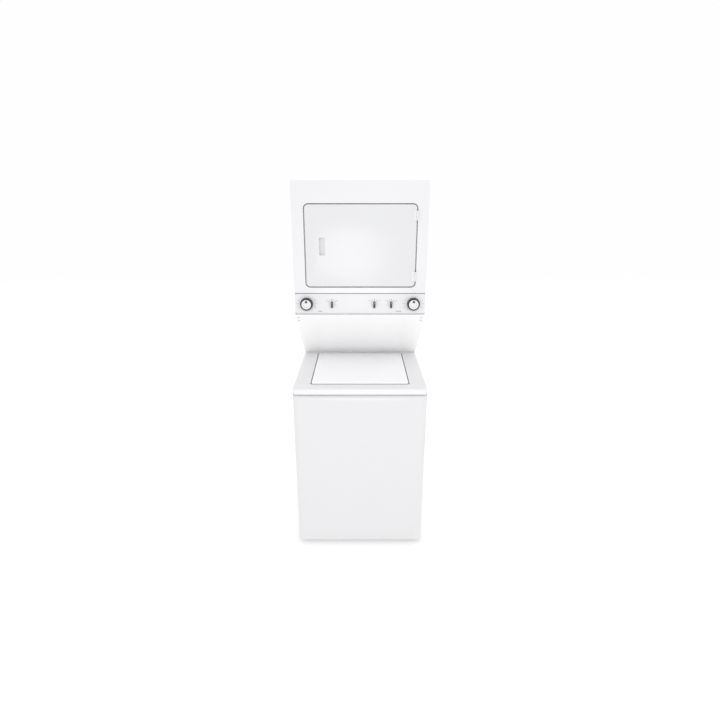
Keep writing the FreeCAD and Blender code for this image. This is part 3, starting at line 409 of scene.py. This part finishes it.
for v in mesh.verts:
    if v.co.z > high.z - 0.5 * mm:
        across = 1 - (v.co.x / high.x) ** 2
        along = 1 - ((v.co.y - middle_y) / (high.y - middle_y)) ** 2
        v.co.z += lid_crown * max(0, across) * max(0, along)
pick(lid, mesh, "faces", lambda c, n: n.z < -0.9)
bpy.ops.mesh.delete(type="FACE")
for drop in (lid_lip, lid_lip + lid_taper):
    cut_across((0, 0, high.z - drop), (0, 0, 1))
mesh = bmesh.from_edit_mesh(lid.data)
for v in mesh.verts:
    if v.co.y < low.y + lid_corner and v.co.z < high.z - lid_lip - lid_taper / 2:
        v.co.y += lid_undercut * (1 - (v.co.y - low.y) / lid_corner)
out_of_edit()
give_thickness(lid)
# Painted light: the lid gets a much lighter copy of the same white enamel.
lid_enamel_painted_light = enamel("white_gloss_enamel_lid_painted_light", "#FCFCFD", roughness=0.24)
finish_piece(lid, lid_enamel_painted_light, "washer_lid", stands_for=["washer_lid"])
dress(cabinet_enamel, "lid_liner")
dress(bright_zinc, "lid_pins")


# ---- Dryer door ----
# Steel door pan with rounded corners and a softly raised edge. A finger pocket is pressed into it
# near its free side, and the inner panel closes it behind.
low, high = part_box("door_outer")
liner_room = 1.5 * mm       # the inner panel closes the back of the pan
door = new_block("door_skin", low, (high.x, high.y - liner_room, high.z))
door_corner, door_edge = 20 * mm, 5 * mm
pocket_x = low.x + 69.5 * mm
pocket_width, pocket_height, pocket_depth = 31 * mm, 90 * mm, 15 * mm
pocket_low = (low.z + high.z) / 2 - pocket_height / 2
pocket_ramp = 9 * mm        # its floor rises away from the free side
mesh = in_edit(door)
pick(door, mesh, "edges", lambda c, d: abs(d.y) > 0.9)
bpy.ops.mesh.bevel(offset=door_corner, segments=8, affect="EDGES")
mesh = bmesh.from_edit_mesh(door.data)
pick(door, mesh, "edges", lambda c, d: c.y < low.y + near)
bpy.ops.mesh.bevel(offset=door_edge, segments=5, affect="EDGES")
for x in (pocket_x, pocket_x + pocket_width):
    cut_across((x, 0, 0), (1, 0, 0))
for z in (pocket_low, pocket_low + pocket_height):
    cut_across((0, 0, z), (0, 0, 1))


def in_pocket(c, n):
    """The part of the front face that the pocket takes up."""
    return (n.y < -0.9 and pocket_x < c.x < pocket_x + pocket_width
            and pocket_low < c.z < pocket_low + pocket_height)


def push_back(depth):
    """Extrudes the selected faces along Y."""
    bpy.ops.mesh.extrude_region_move(TRANSFORM_OT_translate={"value": (0, depth, 0)})


pocket_lip, pocket_floor_edge = 1.2 * mm, 2.5 * mm
mesh = bmesh.from_edit_mesh(door.data)
pick(door, mesh, "faces", in_pocket)
bpy.ops.mesh.inset(thickness=pocket_lip)
push_back(pocket_depth)
mesh = bmesh.from_edit_mesh(door.data)
for v in mesh.verts:
    if v.select and v.co.x > pocket_x + pocket_width / 2:
        v.co.y -= pocket_ramp
bpy.ops.mesh.inset(thickness=pocket_floor_edge)
out_of_edit()
rim = door.modifiers.new("pocket_rim", "BEVEL")
rim.width = 1.6 * mm
rim.segments = 3
rim.angle_limit = math.radians(50)
bpy.ops.object.modifier_apply(modifier=rim.name)
# Painted shade: the door gets a darker copy of the same white enamel.
door_enamel_painted_shade = enamel("white_gloss_enamel_door_painted_shade", "#DDDDDF", roughness=0.26)
finish_piece(door, door_enamel_painted_shade, "dryer_door", stands_for=["door_outer"])
dress(cabinet_enamel, "door_inner", "door_hinge_brackets", "door_hinge_leaves")
dress(rubber, "door_seal")


# ---- Console fascia ----
# Moulded fascia across the whole width, with a rolled lower edge. The dials' scales and the
# selectors' marks are printed on it, and two grey bars stand where each half is labelled.
low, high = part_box("console_panel")
fascia = new_block("console_fascia", low, high)
fascia_roll, fascia_edge = 17 * mm, 1.5 * mm
fascia_wall, fascia_hollow = 2.5 * mm, 19.5 * mm      # it is open behind
mesh = in_edit(fascia)
pick(fascia, mesh, "edges",
     lambda c, d: abs(d.x) > 0.9 and c.y < low.y + near and c.z < low.z + near)
bpy.ops.mesh.bevel(offset=fascia_roll, segments=10, affect="EDGES")
mesh = bmesh.from_edit_mesh(fascia.data)
pick(fascia, mesh, "faces", lambda c, n: n.y > 0.9)
bpy.ops.mesh.inset(thickness=fascia_wall)
push_back(-fascia_hollow)
out_of_edit()
console_plastic = moulded("white_abs_satin", "#E3E3E5", 0.32)
finish_piece(fascia, console_plastic, "cabinet", bevel=fascia_edge, stands_for=["console_panel"])
console_face = low.y

dials = {name: (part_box(name)[0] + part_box(name)[1]) / 2
         for name in ("dryer_timer_knob", "washer_timer_knob")}
selectors = {name: (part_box(name)[0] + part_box(name)[1]) / 2
             for name in ("dryer_heat_knob", "wash_load_knob", "wash_temp_knob")}
ink_depth = 0.15 * mm


def print_mark(x, z, wide, tall, turn=0.0):
    """One printed mark: a very thin raised bar on the fascia, turned about its own middle."""
    bpy.ops.mesh.primitive_cube_add(size=1, location=(x, console_face - ink_depth / 2, z),
                                    rotation=(0, turn, 0), scale=(wide, ink_depth, tall))
    bpy.ops.object.transform_apply(location=True, rotation=True, scale=True)
    return bpy.context.object


def radial_mark(centre, radius, degrees, long, wide):
    """A mark that points at the middle of a control; 0 degrees is straight up."""
    turn = math.radians(degrees)
    return print_mark(centre.x + radius * math.sin(turn), centre.z + radius * math.cos(turn),
                      wide, long, turn)


def join_as(name, marks):
    bpy.ops.object.select_all(action="DESELECT")
    for mark in marks:
        mark.select_set(True)
    bpy.context.view_layer.objects.active = marks[0]
    bpy.ops.object.join()
    marks[0].name = marks[0].data.name = name
    return marks[0]


grey_ink = moulded("printed_grey_ink", "#66666C", 0.5)
dark_ink = moulded("printed_dark_ink", "#4A4A4E", 0.5)
fine_marks, bold_marks = [], []
dial_scale, dial_steps = 41 * mm, 24          # the dial's scale: its radius and its number of marks
minor_mark, major_mark, mark_width = 5 * mm, 8 * mm, 0.8 * mm
words_out, words_up = 52 * mm, 42 * mm        # the bars that stand where each cycle is named
for dial in dials.values():
    for i in range(dial_steps):
        fine_marks.append(radial_mark(dial, dial_scale, 360 / dial_steps * i,
                                      minor_mark if i % 3 else major_mark, mark_width))
    for degrees in (-62, 62, 118, -118, 90, -90):
        turn = math.radians(degrees)
        fine_marks.append(print_mark(dial.x + words_out * math.sin(turn),
                                     dial.z + words_up * math.cos(turn), 8 * mm, 1.2 * mm))
setting_out, setting_words = 25 * mm, 34 * mm     # radii of the selectors' marks and bars
for selector in selectors.values():
    for degrees in (-50, -25, 25, 50):
        fine_marks.append(radial_mark(selector, setting_out, degrees, 8 * mm, 1.4 * mm))
    bold_marks.append(radial_mark(selector, setting_out + 1 * mm, 0, 9 * mm, 1.8 * mm))
    for degrees in (-52, 52):
        turn = math.radians(degrees)
        fine_marks.append(print_mark(selector.x + setting_words * math.sin(turn),
                                     selector.z + setting_words * math.cos(turn), 7 * mm, 1.3 * mm))
label_drop, label_height = 36.5 * mm, 2.4 * mm
for x, wide in ((-211 * mm, 20 * mm), (204 * mm, 30 * mm)):
    bold_marks.append(print_mark(x, selectors["wash_load_knob"].z - label_drop, wide, label_height))
for name, marks, ink in (("console_fine_marks", fine_marks, grey_ink),
                         ("console_bold_marks", bold_marks, dark_ink)):
    printed = join_as(name, marks)
    finish_piece(printed, ink, "cabinet")
dress(black_plastic, "control_switches")


# ---- Timer knobs ----
# Each dial is a charcoal knob with a flared skirt and fine grip flutes, and a white disc is
# pressed into its face. A dark dot on the disc is the pointer.
def new_disc(name, middle, radius, depth, sides):
    """Cylinder that runs front to back, with its place in its mesh."""
    bpy.ops.mesh.primitive_cylinder_add(vertices=sides, radius=radius, depth=depth, location=middle,
                                        rotation=(math.radians(90), 0, 0))
    made = bpy.context.object
    made.name = made.data.name = name
    bpy.ops.object.transform_apply(location=True, rotation=True, scale=True)
    return made


charcoal = moulded("charcoal_abs_moulded", "#37373B", 0.42)
flutes, flute_depth = 60, 0.8 * mm
skirt_taper, skirt_thickness = 0.93, 5 * mm
knob_wall, knob_hollow = 1.2 * mm, 4 * mm
disc_edge, disc_rings = 2.2 * mm, ((5 * mm, 0.8 * mm), (8 * mm, 0.4 * mm))    # widths and steps inward
pointer_radius, pointer_depth, pointer_out, pointer_sunk = 6.2 * mm, 2.4 * mm, 14.5 * mm, 0.2 * mm
for side, body in (("dryer", "dryer_timer_dial"), ("washer", "washer_timer_dial")):
    low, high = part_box(side + "_timer_knob")
    middle = (low + high) / 2
    radius = (high.x - low.x) / 2
    knob = new_disc(side + "_timer_dial_knob", middle, radius, high.y - low.y, flutes * 2)
    mesh = in_edit(knob)
    pick(knob, mesh, "faces", lambda c, n: n.y < -0.9)
    push_back(0)
    bpy.ops.transform.resize(value=(skirt_taper, 1, skirt_taper), center_override=middle)
    bpy.ops.mesh.inset(thickness=knob_wall)
    push_back(knob_hollow)
    mesh = bmesh.from_edit_mesh(knob.data)
    rim = [v for v in mesh.verts
           if abs((v.co - middle).xz.length - radius) < 0.1 * mm and v.co.y < middle.y]
    for v in rim:
        angle = math.atan2(v.co.z - middle.z, v.co.x - middle.x)
        flute = round(angle / (math.pi / flutes)) % 2
        v.co.y = high.y - skirt_thickness
        v.co.x = middle.x + (radius - flute * flute_depth) * math.cos(angle)
        v.co.z = middle.z + (radius - flute * flute_depth) * math.sin(angle)
    bmesh.update_edit_mesh(knob.data)
    out_of_edit()
    finish_piece(knob, charcoal, body, bevel=0.6 * mm, stands_for=[side + "_timer_knob"])

    low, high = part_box(side + "_timer_cap")
    middle = (low + high) / 2
    cap = new_disc(side + "_timer_disc", middle, (high.x - low.x) / 2, high.y - low.y, 72)
    mesh = in_edit(cap)
    pick(cap, mesh, "edges", lambda c, d: c.y < low.y + 0.2 * mm)
    bpy.ops.mesh.bevel(offset=disc_edge, segments=5, affect="EDGES")
    mesh = bmesh.from_edit_mesh(cap.data)
    pick(cap, mesh, "faces", lambda c, n: n.y < -0.98)
    for width, step in disc_rings:
        bpy.ops.mesh.inset(thickness=width)
        push_back(step)
    out_of_edit()
    finish_piece(cap, console_plastic, body, stands_for=[side + "_timer_cap"])

    dot = new_disc(side + "_timer_pointer", (middle.x, low.y + pointer_sunk, middle.z + pointer_out),
                   pointer_radius, pointer_depth, 32)
    finish_piece(dot, charcoal, body, bevel=0.3 * mm)
dress(bright_zinc, "dryer_timer_shaft", "washer_timer_shaft")


# ---- Selector knobs ----
# White base disc with a charcoal finger bar moulded over it. The bar is narrower towards its
# front, and a white line on its upper end points at the setting.
disc_gap, disc_depth = 1.5 * mm, 3 * mm
dish_rim, dish_depth = 2 * mm, 0.8 * mm
grip_half, grip_short, grip_taper = 6 * mm, 1 * mm, (0.55, 1, 0.94)
line_half, line_raised, line_sunk, line_from, line_short = 0.6 * mm, 0.1 * mm, 0.6 * mm, 6 * mm, 4 * mm
for name, body in (("dryer_heat_knob", "dryer_heat_selector"), ("wash_load_knob", "wash_load_selector"),
                   ("wash_temp_knob", "wash_temp_selector")):
    low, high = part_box(name)
    middle = selectors[name]
    base = console_face - disc_gap
    disc = new_disc(name.replace("knob", "disc"), (middle.x, base - disc_depth / 2, middle.z),
                    (high.x - low.x) / 2, disc_depth, 64)
    mesh = in_edit(disc)
    pick(disc, mesh, "faces", lambda c, n: n.y < -0.98)
    bpy.ops.mesh.inset(thickness=dish_rim)
    push_back(dish_depth)
    out_of_edit()
    finish_piece(disc, console_plastic, body, bevel=0.4 * mm)

    grip = new_block(name.replace("knob", "grip"), (middle.x - grip_half, low.y, low.z + grip_short),
                     (middle.x + grip_half, base, high.z - grip_short))
    mesh = in_edit(grip)
    pick(grip, mesh, "faces", lambda c, n: n.y < -0.9)
    bpy.ops.transform.resize(value=grip_taper, center_override=(middle.x, low.y, middle.z))
    out_of_edit()
    finish_piece(grip, charcoal, body, bevel=1.4 * mm, stands_for=[name])

    line = new_block(name.replace("knob", "line"),
                     (middle.x - line_half, low.y - line_raised, middle.z + line_from),
                     (middle.x + line_half, low.y + line_sunk, high.z - line_short))
    finish_piece(line, console_plastic, body)


# ---- Rear fittings ----
# Zinc screws with washers hold the rear sheets, a pressed cover closes the supply terminals, and
# three pressed ribs stiffen the large sheet. A plain plate stands where the rating label is stuck.
rear_low, rear_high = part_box("rear_panels")
deck_low, deck_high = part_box("washer_deck")
rear_face = rear_high.y
screw_head, screw_head_depth = 4.2 * mm, 4 * mm
screw_washer, screw_washer_depth = 6.5 * mm, 1.2 * mm
edge_inset, deck_inset = 14 * mm, 16 * mm


def rear_screw(x, z):
    """Hexagon head on a round washer, seen from behind."""
    washer = new_disc("screw_washer", (x, rear_face + screw_washer_depth / 2, z),
                      screw_washer, screw_washer_depth, 24)
    head = new_disc("screw_head", (x, rear_face + 3 * mm, z), screw_head, screw_head_depth, 6)
    return [washer, head]


screw_x = rear_high.x - edge_inset
rear_screws = []
for x in (-screw_x, 0, screw_x):
    for z in (rear_low.z + edge_inset, deck_low.z - deck_inset, deck_high.z + deck_inset,
              rear_high.z - edge_inset):
        rear_screws += rear_screw(x, z)
for x in (-screw_x, screw_x):
    for z in (rear_low.z + 0.3, rear_low.z + 0.6, deck_high.z + 0.34, deck_high.z + 0.67):
        rear_screws += rear_screw(x, z)
screws = join_as("rear_screws", rear_screws)
finish_piece(screws, bright_zinc, "cabinet", bevel=0.3 * mm)

cover_x, cover_z = 0.23, deck_high.z + 0.12
cover_half, cover_tall, cover_depth, cover_taper = 55 * mm, 45 * mm, 16 * mm, (0.86, 1, 0.84)
cover = new_block("terminal_cover", (cover_x - cover_half, rear_face, cover_z - cover_tall),
                  (cover_x + cover_half, rear_face + cover_depth, cover_z + cover_tall))
mesh = in_edit(cover)
pick(cover, mesh, "faces", lambda c, n: n.y > 0.9)
bpy.ops.transform.resize(value=cover_taper, center_override=(cover_x, rear_face + cover_depth, cover_z))
out_of_edit()
finish_piece(cover, zinc, "cabinet", bevel=3 * mm)

rib_length, rib_width, rib_height, rib_sunk = 0.46, 26 * mm, 4 * mm, 0.5 * mm
rib_taper = (0.97, 1, 0.4)
pressed = []
for z in (deck_high.z + 0.5, deck_high.z + 0.66, deck_high.z + 0.82):
    rib = new_block("stiffening_rib", (-rib_length / 2, rear_face - rib_sunk, z - rib_width / 2),
                    (rib_length / 2, rear_face + rib_height, z + rib_width / 2))
    mesh = in_edit(rib)
    pick(rib, mesh, "faces", lambda c, n: n.y > 0.9)
    bpy.ops.transform.resize(value=rib_taper, center_override=(0, rear_face, z))
    out_of_edit()
    pressed.append(rib)
ribs = join_as("stiffening_ribs", pressed)
finish_piece(ribs, zinc, "cabinet", bevel=1.5 * mm)

plate_z = deck_low.z - 0.24
plate_half, plate_tall, plate_thickness = 60 * mm, 35 * mm, 0.5 * mm
plate = new_block("rating_plate", (-plate_half, rear_face, plate_z - plate_tall),
                  (plate_half, rear_face + plate_thickness, plate_z + plate_tall))
finish_piece(plate, stainless, "cabinet", bevel=0.15 * mm)
